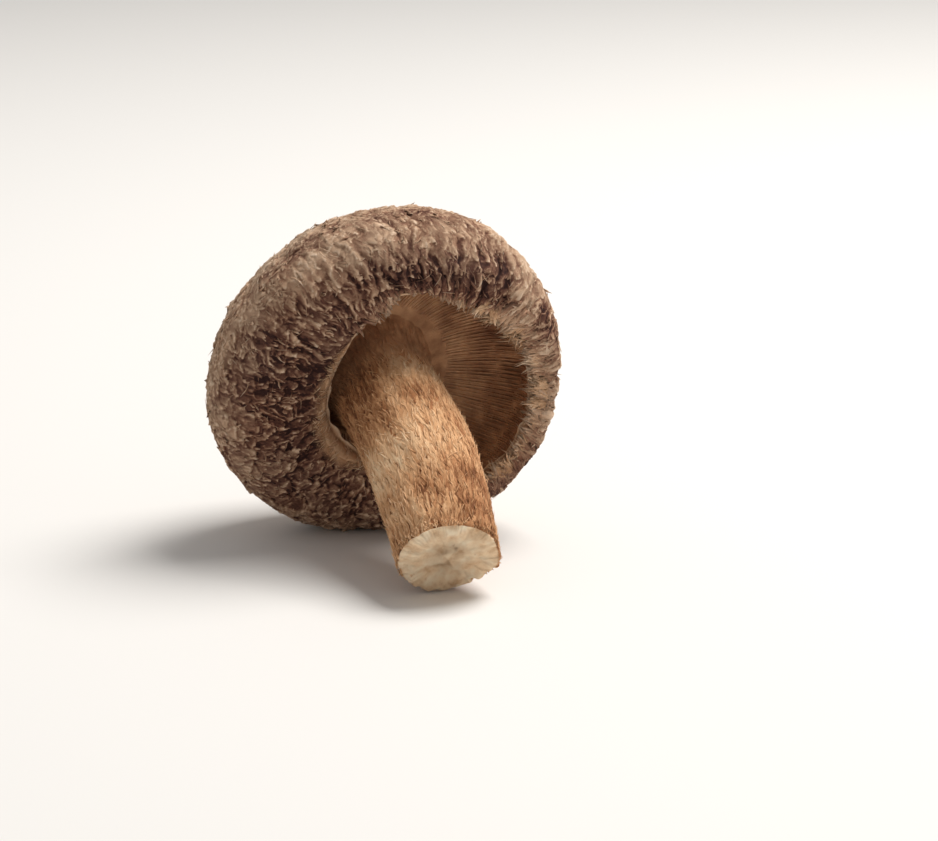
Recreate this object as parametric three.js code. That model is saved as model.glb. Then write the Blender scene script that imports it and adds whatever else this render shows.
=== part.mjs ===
// Shiitake mushroom: one solid of cap, inrolled margin, gill hollow and stem, as it grew.
// It lies as picked, resting on the rim of its cap and on the edge of its stem's foot.
// Millimetres, +Z up, the foot towards -Y, the origin under the middle of the bounding box.
import * as THREE from 'three';

// Driving dimensions of the cap, measured with the cap level and its top upwards.
const CAP_RADIUS = 30.3;
const DOME_HEIGHT = 19.6;
const MARGIN_DEPTH = 13.8;
const OPENING_SHIFT = [6.8, -2.75];

// Driving dimensions of the stem, from the middle of the cap down to the cut foot.
const STEM_RADIUS = 9.8;
const STEM_LENGTH = 49.3;
const STEM_LEAN = [2.05, 0.3];
const STEM_BEND = [-6.05, 9.1];

// How the mushroom lies: the cap's axis leans back from level, and the flesh gives where it rests.
const AXIS_LEAN_DEGREES = 14.8;
const PRESSED_FLAT = 0.45;

// Fineness of the mesh.
const SEGMENTS = 48;
const RINGS_PER_STEP = 2;

// The cap is lobed, not round: waves a turn, height as a share of the radius, way its crest points.
const CAP_LOBES = [[1, 0.0585, 237], [2, 0.0545, 301], [3, 0.0145, 319]];
const OPENING_LOBES = [[2, 0.0590, 32], [3, 0.0250, 28], [4, 0.0380, 336]];
// The rim also rises and falls along the cap's axis, here in millimetres.
const RIM_WAVES = [[1, 2.7, 201], [2, 0.85, 324]];

// Profile of the cap as [radius, height, share of the cap's lobes, share of the opening's shape].
// The radius is a share of CAP_RADIUS. Heights above the level of the cap's greatest width are
// shares of DOME_HEIGHT, and those below it are shares of MARGIN_DEPTH.
const SKIN_PROFILE = [
  [0.05, 0.998, 0.1, 0],
  [0.258, 0.969, 0.3, 0],
  [0.516, 0.851, 0.7, 0],
  [0.758, 0.626, 1, 0],
  [0.929, 0.287, 1, 0],
  [1, -0.098, 1, 0.1],
  [0.981, -0.5, 1, 0.3],
  [0.884, -0.829, 0.7, 0.6],
  [0.755, -1, 0.3, 0.9],
  [0.652, -0.988, 0, 1],
  [0.61, -0.841, 0, 1],
];
const HOLLOW_PROFILE = [
  [0.639, -0.622, 0, 1],
  [0.665, -0.378, 0, 0.85],
  [0.606, -0.134, 0, 0.5],
  [0.477, 0.017, 0, 0.2],
  [0.342, 0.034, 0, 0],
];
// Profile of the stem as [share of its length, share of STEM_RADIUS].
const STEM_PROFILE = [
  [0.04, 1.02],
  [0.12, 0.97],
  [0.3, 0.98],
  [0.5, 1],
  [0.7, 0.99],
  [0.9, 0.96],
  [1, 0.91],
];

const TURN = 2 * Math.PI;

// Sum of the waves at one angle round the cap's axis.
function waves(list, angle) {
  return list.reduce((sum, [count, height, crest]) => (
    sum + height * Math.cos(count * (angle - THREE.MathUtils.degToRad(crest)))
  ), 0);
}

// Catmull-Rom curve through rows of numbers, with `steps` rows for each stretch between two rows.
function smooth(rows, steps) {
  const ends = [rows[0], ...rows, rows.at(-1)];
  const result = [];
  for (let i = 0; i < rows.length - 1; i += 1) {
    const [before, from, to, after] = ends.slice(i, i + 4);
    for (let step = 0; step < steps; step += 1) {
      const t = step / steps;
      result.push(from.map((value, k) => {
        const straight = value + (to[k] - value) * t;
        const startSlope = (to[k] - before[k]) / 2 - (to[k] - value);
        const endSlope = (after[k] - value) / 2 - (to[k] - value);
        return straight + t * (1 - t) * ((1 - t) * startSlope - t * endSlope);
      }));
    }
  }
  return [...result, rows.at(-1)];
}

// A ring of the cap: lobed where the skin is free, and moved to the opening's place at the rim.
function capRing([radius, height, lobes, opening]) {
  const level = height * (height > 0 ? DOME_HEIGHT : MARGIN_DEPTH);
  return Array.from({ length: SEGMENTS }, (_, i) => {
    const angle = (TURN * i) / SEGMENTS;
    const shape = 1 + lobes * waves(CAP_LOBES, angle) + opening * waves(OPENING_LOBES, angle);
    return new THREE.Vector3(
      radius * CAP_RADIUS * shape * Math.cos(angle) + opening * OPENING_SHIFT[0],
      radius * CAP_RADIUS * shape * Math.sin(angle) + opening * OPENING_SHIFT[1],
      level + opening * waves(RIM_WAVES, angle),
    );
  });
}

// A ring of the stem, square to the stem's bent centreline.
function stemRing([share, radius]) {
  const centre = new THREE.Vector3(
    STEM_LEAN[0] * share + STEM_BEND[0] * share ** 2,
    STEM_LEAN[1] * share + STEM_BEND[1] * share ** 2,
    -STEM_LENGTH * share,
  );
  const along = new THREE.Vector3(
    STEM_LEAN[0] + 2 * STEM_BEND[0] * share,
    STEM_LEAN[1] + 2 * STEM_BEND[1] * share,
    -STEM_LENGTH,
  ).normalize();
  const side = new THREE.Vector3(1, 0, 0).projectOnPlane(along).normalize();
  const other = new THREE.Vector3().crossVectors(side, along);
  return Array.from({ length: SEGMENTS }, (_, i) => {
    const angle = (TURN * i) / SEGMENTS;
    return centre.clone()
      .addScaledVector(side, radius * STEM_RADIUS * Math.cos(angle))
      .addScaledVector(other, radius * STEM_RADIUS * Math.sin(angle));
  });
}

// Closed surface through the rings, from the cap's top, round the rim, up the hollow to the foot.
function solidThrough(rings) {
  const points = [...rings.flat()];
  const faces = [];
  for (let ring = 0; ring < rings.length - 1; ring += 1) {
    for (let i = 0; i < SEGMENTS; i += 1) {
      const here = ring * SEGMENTS + i;
      const next = ring * SEGMENTS + ((i + 1) % SEGMENTS);
      faces.push(here, here + SEGMENTS, next);
      faces.push(next, here + SEGMENTS, next + SEGMENTS);
    }
  }
  [[rings[0], 0], [rings.at(-1), (rings.length - 1) * SEGMENTS]].forEach(([ring, start], end) => {
    const middle = ring.reduce((sum, p) => sum.add(p), new THREE.Vector3()).divideScalar(SEGMENTS);
    const pole = points.push(middle) - 1;
    for (let i = 0; i < SEGMENTS; i += 1) {
      const edge = [start + i, start + ((i + 1) % SEGMENTS)];
      faces.push(pole, ...(end === 0 ? edge : edge.reverse()));
    }
  });
  const geometry = new THREE.BufferGeometry().setFromPoints(points);
  geometry.setIndex(faces);
  return geometry;
}

// Lays the mushroom down, flattens it where it rests and puts the origin under its middle.
function layDown(geometry) {
  geometry.rotateX(THREE.MathUtils.degToRad(AXIS_LEAN_DEGREES - 90));
  geometry.computeBoundingBox();
  geometry.translate(0, 0, -geometry.boundingBox.min.z - PRESSED_FLAT);
  const { position } = geometry.attributes;
  for (let i = 0; i < position.count; i += 1) {
    position.setZ(i, Math.max(position.getZ(i), 0));
  }
  geometry.computeBoundingBox();
  const middle = geometry.boundingBox.getCenter(new THREE.Vector3());
  geometry.translate(-middle.x, -middle.y, 0);
  geometry.computeVertexNormals();
  return geometry;
}

const rings = [
  ...smooth([...SKIN_PROFILE, ...HOLLOW_PROFILE], RINGS_PER_STEP).map(capRing),
  ...smooth(STEM_PROFILE, RINGS_PER_STEP).map(stemRing),
];
const flesh = new THREE.MeshStandardMaterial({ color: 0x6f5240, roughness: 0.85, metalness: 0 });
const mushroom = new THREE.Mesh(layDown(solidThrough(rings)), flesh);
mushroom.name = 'mushroom';

const shiitake = new THREE.Group();
shiitake.add(mushroom);

export default shiitake;
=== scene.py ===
import math

import bmesh
import bpy
import numpy as np
from mathutils import Matrix, Vector


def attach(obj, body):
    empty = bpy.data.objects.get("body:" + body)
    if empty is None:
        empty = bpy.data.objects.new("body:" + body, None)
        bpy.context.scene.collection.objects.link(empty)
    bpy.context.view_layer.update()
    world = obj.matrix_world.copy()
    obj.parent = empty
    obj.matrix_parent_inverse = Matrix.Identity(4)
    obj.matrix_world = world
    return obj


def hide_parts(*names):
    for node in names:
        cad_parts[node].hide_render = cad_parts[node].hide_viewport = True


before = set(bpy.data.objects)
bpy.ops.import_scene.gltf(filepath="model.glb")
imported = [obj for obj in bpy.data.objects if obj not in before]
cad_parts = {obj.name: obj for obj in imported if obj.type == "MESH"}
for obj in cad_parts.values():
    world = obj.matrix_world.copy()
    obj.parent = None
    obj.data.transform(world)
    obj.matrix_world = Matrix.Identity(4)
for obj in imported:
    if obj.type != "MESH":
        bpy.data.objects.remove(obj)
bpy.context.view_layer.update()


# The camera: a long lens a little above the table, turned to see into the hollow beside the stem.
# It is aimed so that the middle of the cap falls left of and above the middle of the view.
MM = 0.001
VIEW_SIZE = (938, 841)
CAP_IN_VIEW = (372.0, 375.3)
PIXELS_PER_METRE = 5550
CAMERA_DISTANCE = 0.56
CAMERA_TURN = math.radians(-22.95)
CAMERA_RISE = math.radians(14)
CAP_MIDDLE = Vector((-0.2 * MM, 15.1 * MM, 28.86 * MM))

camera_right = Vector((math.cos(CAMERA_TURN), math.sin(CAMERA_TURN), 0))
camera_back = Vector((
    math.sin(CAMERA_TURN) * math.cos(CAMERA_RISE),
    -math.cos(CAMERA_TURN) * math.cos(CAMERA_RISE),
    math.sin(CAMERA_RISE),
))
camera_up = camera_back.cross(camera_right)
aim = (
    CAP_MIDDLE
    + camera_right * ((VIEW_SIZE[0] / 2 - CAP_IN_VIEW[0]) / PIXELS_PER_METRE)
    - camera_up * ((VIEW_SIZE[1] / 2 - CAP_IN_VIEW[1]) / PIXELS_PER_METRE)
)
bpy.ops.object.camera_add(location=aim + camera_back * CAMERA_DISTANCE)
camera = bpy.context.object
camera.rotation_euler = camera_back.to_track_quat("Z", "Y").to_euler()
camera.data.sensor_width = 36
camera.data.lens = camera.data.sensor_width * PIXELS_PER_METRE * CAMERA_DISTANCE / VIEW_SIZE[0]
camera.data.clip_start = 0.02
camera.data.clip_end = 10
bpy.context.scene.camera = camera


# The table: a matt white board, going grey far behind, under one large soft light from above and
# a white room.
class Wire:
    """A value in a material: Python's arithmetic on it adds the Math nodes."""

    def __init__(self, socket):
        self.socket = socket

    def math(self, operation, *values):
        tree = self.socket.id_data
        sum_node = tree.nodes.new("ShaderNodeMath")
        sum_node.operation = operation
        for place, value in zip(sum_node.inputs, values):
            plug(place, value)
        return Wire(sum_node.outputs[0])

    def __add__(self, other):
        return self.math("ADD", self, other)

    def __sub__(self, other):
        return self.math("SUBTRACT", self, other)

    def __rsub__(self, other):
        return self.math("SUBTRACT", other, self)

    def __mul__(self, other):
        return self.math("MULTIPLY", self, other)

    def __pow__(self, other):
        return self.math("POWER", self, other)

    def clamp(self):
        kept = self + 0.0
        kept.socket.node.use_clamp = True
        return kept

    __radd__ = __add__
    __rmul__ = __mul__


def plug(socket, value):
    """Links a wire to a socket, or sets the socket to a number, colour or vector."""
    if isinstance(value, Wire):
        socket.id_data.links.new(value.socket, socket)
    else:
        socket.default_value = value


class Finish:
    """A material on the Principled shader, mixed node by node."""

    def __init__(self, name, settings):
        self.material = bpy.data.materials.new(name)
        self.material.use_nodes = True
        self.tree = self.material.node_tree
        self.shader = self.tree.nodes["Principled BSDF"]
        for socket, value in settings.items():
            self.feed(socket, value)

    def feed(self, socket, value):
        plug(self.shader.inputs[socket], value)

    def node(self, kind, settings, inputs, output=0):
        """Adds a node of a kind: its settings first, then the values or links of its sockets."""
        added = self.tree.nodes.new("ShaderNode" + kind)
        for name, setting in settings.items():
            if name == "stops":
                for _ in setting[2:]:
                    added.color_ramp.elements.new(0.5)
                for stop, (place, colour) in zip(added.color_ramp.elements, setting):
                    stop.position, stop.color = place, (*colour, 1)
            else:
                setattr(added, name, setting)
        for name, value in inputs.items():
            plug(added.inputs[name], value)
        return Wire(added.outputs[output])

    def mark(self, name, output="Fac"):
        """A value that the mesh carries at its points."""
        return self.node("Attribute", {"attribute_name": name}, {}, output)

    def noise(self, scale, detail, roughness=0.55, vector=None):
        """Cloudy noise through the piece, or through the space of a vector."""
        vector = vector or self.node("TexCoord", {}, {}, "Object")
        inputs = {"Vector": vector, "Scale": scale, "Detail": detail, "Roughness": roughness}
        return self.node("TexNoise", {}, inputs)

    def streaks(self, across, along):
        """Streaks down a piece's grain: how many there are in a millimetre across it and along it."""
        scale = (across, along, 1.0)
        grain = self.node("Mapping", {}, {"Vector": self.mark("grain", "Vector"), "Scale": scale})
        return self.noise(1.0, 4.0, 0.65, grain)

    def ramp(self, value, *stops):
        return self.node("ValToRGB", {"stops": stops}, {"Fac": value})

    def blend(self, share, first, second):
        return self.node("Mix", {"data_type": "RGBA"}, {0: share, 6: first, 7: second}, 2)

    def bump(self, height, distance):
        return self.node("Bump", {}, {"Height": height, "Distance": distance, "Strength": 1.0})


TABLE_SIZE = 6.0
ROOM_LIGHT = 0.39
SOFTBOX_SIZE = 0.65
SOFTBOX_POWER = 16.0
SOFTBOX_PLACE = Vector((0.55, 0.05, 1.0))

bpy.ops.object.select_all(action="DESELECT")
bpy.ops.mesh.primitive_plane_add(size=TABLE_SIZE)
table = bpy.context.object
table.name = "table"
board = Finish("white board", {"Base Color": (0.78, 0.765, 0.745, 1), "Roughness": 0.7})
table.data.materials.append(board.material)

bpy.ops.object.light_add(type="AREA", location=SOFTBOX_PLACE)
softbox = bpy.context.object
softbox.name = "softbox"
softbox.data.size = SOFTBOX_SIZE
softbox.data.energy = SOFTBOX_POWER
softbox.data.color = (1.0, 0.975, 0.94)
softbox.rotation_euler = (SOFTBOX_PLACE - CAP_MIDDLE).to_track_quat("Z", "Y").to_euler()

room = bpy.data.worlds.new("room")
room.use_nodes = True
room.node_tree.nodes["Background"].inputs["Color"].default_value = (1.0, 0.985, 0.965, 1)
room.node_tree.nodes["Background"].inputs["Strength"].default_value = ROOM_LIGHT
bpy.context.scene.world = room
bpy.context.scene.view_settings.view_transform = "Standard"


# The cap's flesh: one tough rounded body whose margin is rolled in under a lobed dome. Its felted
# skin tore into overlapping flakes as it grew, and is combed into long locks along the lip. It grew
# as one piece with everything below.
TURN = 2 * math.pi
CAP_RADIUS = 30.3 * MM
DOME_HEIGHT = 19.6 * MM
MARGIN_DEPTH = 13.8 * MM
OPENING_SHIFT = (6.8 * MM, -2.75 * MM)
AXIS_LEAN = math.radians(14.8)
CAP_LOBES = ((1, 0.0585, 237), (2, 0.0545, 301), (3, 0.0145, 319))
OPENING_LOBES = ((2, 0.059, 32), (3, 0.025, 28), (4, 0.038, 336))
RIM_WAVES = ((1, 2.7 * MM, 201), (2, 0.85 * MM, 324))
# in degrees, where the skin is combed into locks, and where the veil is torn and where it is smooth
COMBED_SIDE, TORN_SIDE, SMOOTH_SIDE = 300, 350, 168
# radius and height as shares, then the share of the cap's lobes and of the opening's shape
SKIN_PROFILE = (
    (0, 1, 0.1, 0), (0.258, 0.969, 0.3, 0), (0.516, 0.851, 0.7, 0), (0.758, 0.626, 1, 0),
    (0.929, 0.287, 1, 0), (1, -0.098, 1, 0.1), (0.981, -0.5, 1, 0.3), (0.884, -0.829, 0.7, 0.6),
    (0.755, -1, 0.3, 0.9), (0.652, -0.988, 0, 1), (0.61, -0.841, 0, 1),
)
HOLLOW_PROFILE = (
    (0.639, -0.622, 0, 1), (0.665, -0.378, 0, 0.85), (0.606, -0.134, 0, 0.5),
    (0.477, 0.017, 0, 0.2), (0.342, 0.034, 0, 0),
)
PROFILE_STEPS = 16
laid_down = Matrix.Translation(CAP_MIDDLE) @ Matrix.Rotation(AXIS_LEAN - math.radians(90), 4, "X")


def smooth(rows, steps):
    """Catmull-Rom curve through rows of numbers, with that many steps from row to row."""
    rows = np.array(rows, float)
    ends = np.vstack((rows[:1], rows, rows[-1:]))
    curve = []
    for before, start, end, after in zip(ends, ends[1:], ends[2:], ends[3:]):
        rise = end - start
        leaving, arriving = (end - before) / 2 - rise, (after - start) / 2 - rise
        for t in np.arange(steps) / steps:
            curve.append(start + rise * t + t * (1 - t) * ((1 - t) * leaving - t * arriving))
    return np.array(curve + [rows[-1]])


def waves(wave_list, angle):
    """Sum of waves round the cap, each a count in a turn, a height and where its crest points."""
    return sum(
        height * np.cos(count * (angle - math.radians(crest))) for count, height, crest in wave_list
    )


profile = smooth(SKIN_PROFILE + HOLLOW_PROFILE, steps=PROFILE_STEPS)
profile[:, 0] *= CAP_RADIUS
profile[:, 1] *= np.where(profile[:, 1] > 0, DOME_HEIGHT, MARGIN_DEPTH)
profile_run = np.r_[0, np.cumsum(np.hypot(*np.diff(profile[:, :2], axis=0).T))]
SKIN_LENGTH = profile_run[PROFILE_STEPS * (len(SKIN_PROFILE) - 1)]
HOLLOW_LENGTH = profile_run[-1] - SKIN_LENGTH
past_lip = 1 + (profile_run - SKIN_LENGTH) / HOLLOW_LENGTH
profile_way = np.where(profile_run <= SKIN_LENGTH, profile_run / SKIN_LENGTH, past_lip)


def cap_point(angle, way):
    """Points of the cap: way 0 is its top, 1 the lip and 2 the end of the hollow at the stem."""
    radius, height, lobes, opening = (np.interp(way, profile_way, column) for column in profile.T)
    reach = radius * (1 + lobes * waves(CAP_LOBES, angle) + opening * waves(OPENING_LOBES, angle))
    return np.stack((
        reach * np.cos(angle) + opening * OPENING_SHIFT[0],
        reach * np.sin(angle) + opening * OPENING_SHIFT[1],
        height + opening * waves(RIM_WAVES, angle),
    ), axis=-1)


def surface_frame(point, angle, way, step=0.004):
    """A surface's point, the ways round and down the surface there, and the way out of it."""
    around = (point(angle + step, way) - point(angle - step, way)) / (2 * step)
    down = (point(angle, way + step) - point(angle, way - step)) / (2 * step)
    out = np.cross(down, around)
    return point(angle, way), around, down, out / np.linalg.norm(out, axis=-1, keepdims=True)


def cap_frame(angle, way):
    return surface_frame(cap_point, angle, way)


def facing(angle, side, slope, level=0.0):
    """From 0 to 1, how much an angle faces a side, which is in degrees."""
    return np.clip(np.cos(angle - math.radians(side)) * slope + level, 0, 1)


def spot(angle, centre, spread):
    """A soft spot of 1 round a centre, which dies away within about two spreads, all in degrees."""
    away = (np.mod(np.degrees(angle) - centre + 180, 360) - 180) / spread
    return np.exp(-away ** 2)


def deselect_all():
    if bpy.context.object and bpy.context.object.mode != "OBJECT":
        bpy.ops.object.mode_set(mode="OBJECT")
    bpy.ops.object.select_all(action="DESELECT")


def grow(name, rings, levels, band=False):
    """A closed body grown by extruding ring after ring, ending in a point, and then subdivided. A
    band ends where it began. Its points carry the ring's number as a share, and the angle."""
    deselect_all()
    count = len(rings[0])
    bpy.ops.mesh.primitive_circle_add(vertices=count, radius=CAP_RADIUS)
    body = bpy.context.object
    body.name = name
    for mark in ("row", "cosine", "sine"):
        body.data.attributes.new(mark, "FLOAT", "POINT")
    bpy.ops.object.mode_set(mode="EDIT")
    for number, ring in enumerate(rings):
        if number:
            bpy.ops.mesh.extrude_edges_move()
        mesh = bmesh.from_edit_mesh(body.data)
        row, cosine, sine = (mesh.verts.layers.float[mark] for mark in ("row", "cosine", "sine"))
        mesh.verts.ensure_lookup_table()
        for place, vertex in enumerate(mesh.verts[-count:]):
            if not number:
                vertex[cosine] = math.cos(TURN * place / count)
                vertex[sine] = math.sin(TURN * place / count)
            place = round(math.atan2(vertex[sine], vertex[cosine]) / TURN * count) % count
            vertex.co = ring[place]
            vertex[row] = number / (len(rings) - 1)
    if not band:
        bpy.ops.mesh.merge(type="CENTER")
        mesh = bmesh.from_edit_mesh(body.data)
        mesh.verts.ensure_lookup_table()
        bpy.ops.mesh.select_all(action="DESELECT")
        for vertex in mesh.verts[:count]:
            vertex.select = True
        bpy.ops.mesh.merge(type="CENTER")
    bpy.ops.mesh.select_all(action="SELECT")
    if band:
        bpy.ops.mesh.remove_doubles(threshold=0.001 * MM)
    bpy.ops.mesh.normals_make_consistent(inside=False)
    bpy.ops.object.mode_set(mode="OBJECT")
    rounding = body.modifiers.new("rounding", "SUBSURF")
    rounding.levels = rounding.render_levels = levels
    bpy.ops.object.modifier_apply(modifier="rounding")
    bpy.ops.object.shade_smooth()
    return body


def read(piece, name):
    """A value that a piece carries at its points."""
    values = np.zeros(len(piece.data.vertices), np.float32)
    piece.data.attributes[name].data.foreach_get("value", values)
    return values


def read_rows(piece, field):
    """The places of a piece's points, or their normals."""
    rows = np.zeros(len(piece.data.vertices) * 3, np.float32)
    piece.data.vertices.foreach_get(field, rows)
    return rows.reshape(-1, 3)


def places_of(piece, ways):
    """The angle and the way of each point of a grown piece, whose rings lie at these ways."""
    angle = np.arctan2(read(piece, "sine"), read(piece, "cosine"))
    return angle, np.interp(read(piece, "row"), np.linspace(0, 1, len(ways)), ways)


def push_out(piece, distance):
    """Moves each point of a piece out along its normal, by its own distance."""
    points = read_rows(piece, "co") + read_rows(piece, "normal") * distance[:, None]
    piece.data.vertices.foreach_set("co", points.ravel())


def mark_points(piece, **marks):
    """Puts a value, or three, on each point of a piece for its material to read."""
    for name, values in marks.items():
        kind, field = ("FLOAT", "value") if np.ndim(values) == 1 else ("FLOAT_VECTOR", "vector")
        attributes = piece.data.attributes
        attribute = attributes.get(name) or attributes.new(name, kind, "POINT")
        attribute.data.foreach_set(field, np.ravel(values).astype(np.float32))


def lay_down(piece):
    """Brings a piece from the upright cap's place to where it lies, flat where it meets the table."""
    piece.data.transform(laid_down)
    points = read_rows(piece, "co")
    points[:, 2] = np.maximum(points[:, 2], 0)
    piece.data.vertices.foreach_set("co", points.ravel())
    piece.data.update()


# random heights on a repeating grid of 64 a side: a place in it has 6 bits each for x, y and z
LUMPS = np.random.default_rng(3).uniform(-1, 1, 64 ** 3)


def lumpy(points, size, seed):
    """Soft random heights from -1 to 1 at points, in lumps of that size."""
    cell = np.asarray(points) / size + seed * 7.3
    corner = np.floor(cell).astype(np.int32)
    part = cell - corner
    part = part * part * (3 - 2 * part)
    (x, y, z), (low, high) = np.moveaxis(part, -1, 0), (corner & 63, (corner + 1) & 63)
    lines = [(a[..., 0] << 12) | (b[..., 1] << 6) for a in (low, high) for b in (low, high)]
    rows = [LUMPS[line | low[..., 2]] * (1 - z) + LUMPS[line | high[..., 2]] * z for line in lines]
    return (rows[0] * (1 - y) + rows[1] * y) * (1 - x) + (rows[2] * (1 - y) + rows[3] * y) * x


class Shingles:
    """A skin of overlapping torn flakes, kept as heights on a fine grid of ways and angles."""

    def __init__(self, surface, ways, columns, ragged, floor):
        self.surface, self.ways, self.columns = surface, ways, columns
        angles = TURN * np.arange(columns) / columns
        self.points = surface(*np.meshgrid(angles, ways))[0]
        torn = [
            ragged * (1.6 * lumpy(self.points, 3.5 * MM, seed) + lumpy(self.points, 1.5 * MM, seed + 5)
                      + 0.45 * lumpy(self.points, 0.6 * MM, seed + 9))
            for seed in (11, 12, 13)
        ]
        self.torn_points = self.points + np.stack(torn, axis=-1)
        self.height = np.full(self.points.shape[:2], floor)
        self.marks = np.zeros((*self.height.shape, 6), np.float32)

    def row_at(self, way):
        return (way - self.ways[0]) / (self.ways[1] - self.ways[0])

    def lay(self, places, length, width, rise, turn, tone, dice, roundness=0.3, curl=0.0,
            fade=0.0, stacked=0):
        """Lays flakes from their roots: each rises to its free tip, where it may curl up or fade
        away, and the highest one shows. A stacked layer follows the heights below it."""
        angle, way = places
        under = self.height.copy()
        point, around, down, _ = self.surface(angle, way)
        around_rate, down_rate = (np.maximum(np.linalg.norm(v, axis=-1), 1e-9) for v in (around, down))
        down, around = down / down_rate[:, None], around / around_rate[:, None]
        cosine, sine = np.cos(turn)[:, None], np.sin(turn)[:, None]
        ahead, aside = down * cosine + around * sine, around * cosine - down * sine
        reach = np.maximum(length, width) + 0.6 * MM
        first_row = np.clip(self.row_at(way - reach / down_rate), 0, len(self.ways) - 1).astype(int)
        end_row = np.clip(self.row_at(way + reach / down_rate) + 2, 1, len(self.ways)).astype(int)
        half = np.minimum(reach / around_rate / TURN * self.columns, self.columns // 2 - 1).astype(int)
        middle = (angle / TURN * self.columns).astype(int)
        seeds = dice.uniform(0, 60, len(angle))
        for n in range(len(angle)):
            rows = slice(first_row[n], end_row[n])
            columns = np.arange(middle[n] - half[n], middle[n] + half[n] + 1) % self.columns
            away = self.torn_points[rows, columns] - point[n]
            run, side = away @ ahead[n], away @ aside[n]
            share = run / length[n]
            inside = (share > 0) & (share < 1) & (np.abs(away @ np.cross(ahead[n], aside[n])) < 4 * MM)
            share = np.clip(share, 0, 1)
            across = side / (width[n] / 2 * np.minimum(1, 0.6 + share) * np.sqrt(1 - share ** 4) + 1e-6)
            edge = np.maximum(share, np.abs(across))
            height = rise[n] * (0.15 + 0.85 * share) * (1 - roundness * across ** 2)
            height = height * (1 - fade * share ** 3) + curl * edge ** 8 * share
            height += stacked * under[rows, columns]
            shown = inside & (np.abs(across) < 1) & (height > self.height[rows, columns])
            row, column = np.nonzero(shown)
            into = (row + rows.start, columns[column])
            self.height[into] = height[shown]
            self.marks[into] = np.stack((
                np.full(len(row), tone[n]), share[shown], edge[shown],
                side[shown] / MM, run[shown] / MM, np.full(len(row), seeds[n]),
            ), axis=-1)

    def blurred(self, grid, radius):
        """The grid averaged over squares of about that radius."""
        circles = np.linalg.norm(np.diff(self.points, axis=1), axis=-1).mean(1)
        step = np.linalg.norm(np.diff(self.points, axis=0), axis=-1).mean()
        blurred = np.empty_like(grid)
        for row, width in enumerate(circles):
            half = int(np.clip(radius / max(width, 1e-6), 1, self.columns // 3))
            sums = np.cumsum(np.r_[grid[row, -half - 1:], grid[row], grid[row, :half]])
            blurred[row] = (sums[2 * half + 1:] - sums[:-2 * half - 1]) / (2 * half + 1)
        half = max(1, int(radius / step))
        sums = np.cumsum(np.pad(blurred, ((half + 1, half), (0, 0)), mode="edge"), axis=0)
        return (sums[2 * half + 1:] - sums[:-2 * half - 1]) / (2 * half + 1)

    def look_up(self, grid, angle, way):
        """Values of the grid at angles and ways, in between its points."""
        row = np.clip(self.row_at(way), 0, len(self.ways) - 1.001)
        column = np.mod(angle / TURN, 1) * self.columns
        low_row, low_column = row.astype(int), column.astype(int) % self.columns
        down, over = row - low_row, column - column.astype(int)
        next_column = (low_column + 1) % self.columns
        first = grid[low_row, low_column] * (1 - over) + grid[low_row, next_column] * over
        second = grid[low_row + 1, low_column] * (1 - over) + grid[low_row + 1, next_column] * over
        return first * (1 - down) + second * down

    def mark(self, piece, angle, way):
        """Writes on a piece what its material reads: each point's flake, and how deep it lies, which
        its material turns into painted shade in pits and painted light on crests.
        """
        row = np.rint(self.row_at(way))
        column = np.rint(np.mod(angle / TURN, 1) * self.columns).astype(int) % self.columns
        marks = self.marks[np.clip(row, 0, len(self.ways) - 1).astype(int), column]
        mark_points(
            piece, tone=marks[:, 0], tip=marks[:, 1], edge=marks[:, 2], grain=marks[:, 3:],
            proud=self.look_up(self.proud, angle, way) / MM,
        )


def scatter(surface, ways, spacing, dice):
    """Staggered random places in rows over a surface, as angles and ways."""
    places = []
    for way in ways:
        circle = surface(np.linspace(0, TURN, 60), np.full(60, way))[1]
        count = max(3, int(TURN * np.linalg.norm(circle, axis=-1).mean() / spacing))
        row = (np.arange(count) + dice.random() + dice.uniform(-0.4, 0.4, count)) * TURN / count
        shift = dice.uniform(-0.5, 0.5, count) * (ways[1] - ways[0])
        places.append(np.c_[np.mod(row, TURN), way + shift])
    return np.vstack(places).T


def on_ring(angle):
    """Points on a plain ring, for lumps that follow only the angle."""
    return np.stack((20 * MM * np.cos(angle), 20 * MM * np.sin(angle), 0 * angle), -1)


def veil_way(angle):
    """Where the skin ends and the veil begins on the rolled margin."""
    around = on_ring(angle)
    broad = facing(angle, SMOOTH_SIDE, 2.2, -1.0)
    fray = 0.012 * lumpy(around, 3 * MM, 35) + 0.005 * lumpy(around, 1.2 * MM, 36)
    return 1.0 - 0.067 * broad + fray * np.clip(broad * 3 + 0.2, 0, 1)


dice = np.random.default_rng(7)
skin = Shingles(cap_frame, np.linspace(0.002, 1, 560), columns=1536, ragged=0.5 * MM, floor=-0.2 * MM)
flakes = scatter(cap_frame, np.arange(0.02, 0.96, 0.028), 1.9 * MM, dice)
count = len(flakes[0])
combed = facing(flakes[0], COMBED_SIDE, 2.0) * np.clip((flakes[1] - 0.55) * 8, 0, 1)
flake_length = np.interp(flakes[1], (0, 0.35, 0.6, 0.9), (2.6, 3.6, 4.4, 4.8)) * MM
flake_length *= dice.uniform(0.7, 1.4, count)
flake_width = np.interp(flakes[1], (0, 0.6, 0.9), (3.4, 3.4, 2.6)) * dice.uniform(0.5, 1.5, count) * MM
flake_rise = np.interp(flakes[1], (0, 0.45, 0.8), (0.2, 0.34, 0.5)) * MM * dice.uniform(0.3, 1.6, count)
tousled = np.interp(flakes[1], (0, 0.25, 0.45), (3.5, 2.5, 0))
flake_turn = 0.95 * lumpy(cap_point(*flakes), 7 * MM, 3) + dice.normal(0, 0.4, count) * (1 + tousled)
flake_turn *= 1 - 0.6 * combed
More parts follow.
